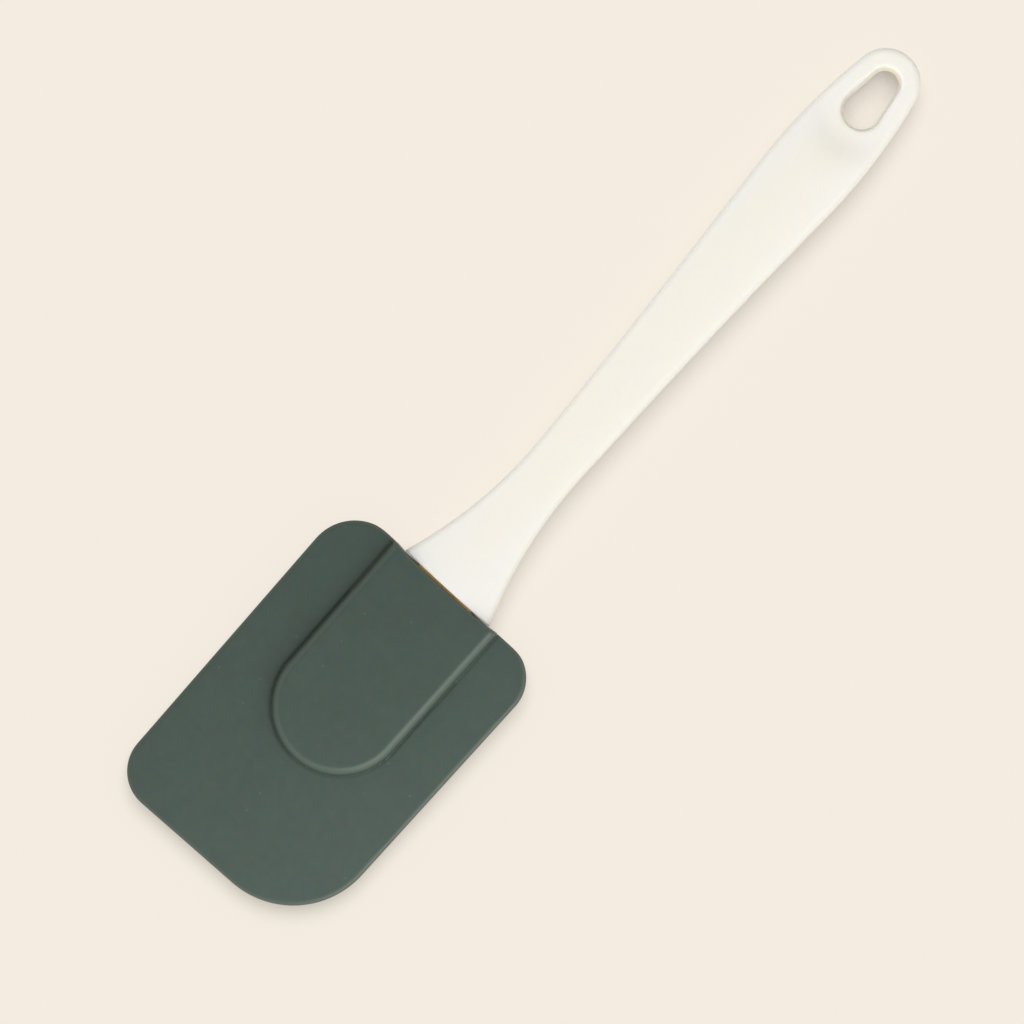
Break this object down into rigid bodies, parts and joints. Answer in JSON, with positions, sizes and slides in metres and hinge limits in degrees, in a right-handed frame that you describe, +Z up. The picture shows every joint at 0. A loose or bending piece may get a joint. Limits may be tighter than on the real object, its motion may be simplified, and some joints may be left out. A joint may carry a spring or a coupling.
{
  "type": "silicone spatula",
  "caption": "Kitchen spatula: white moulded handle with a tapered hang hole, and a flat silicone head with a raised pocket that pulls off the tang for washing.",
  "frame": {"origin": "middle of the whole length and width, on the plane that the back of the head's pad lies on", "axes": "+Y along the handle towards the hang hole, +X across towards the side with the large tip corner, +Z up with the spatula lying flat"},
  "size_m": [0.0612, 0.25, 0.01],
  "materials": {
    "handle_plastic": "satin moulded polypropylene, warm white",
    "core_nylon": "honey-coloured glass-filled nylon",
    "head_silicone": "matte silicone rubber, dark green-grey"
  },
  "bodies": {
    "grip": {"handle": "handle_plastic", "tang_core": "core_nylon"},
    "head": {"silicone_head": "head_silicone"}
  },
  "joints": [
    {"name": "head_pull", "type": "slide", "parent": "grip", "child": "head", "axis": [0, -1, 0], "range_m": [0, 0.048]}
  ]
}
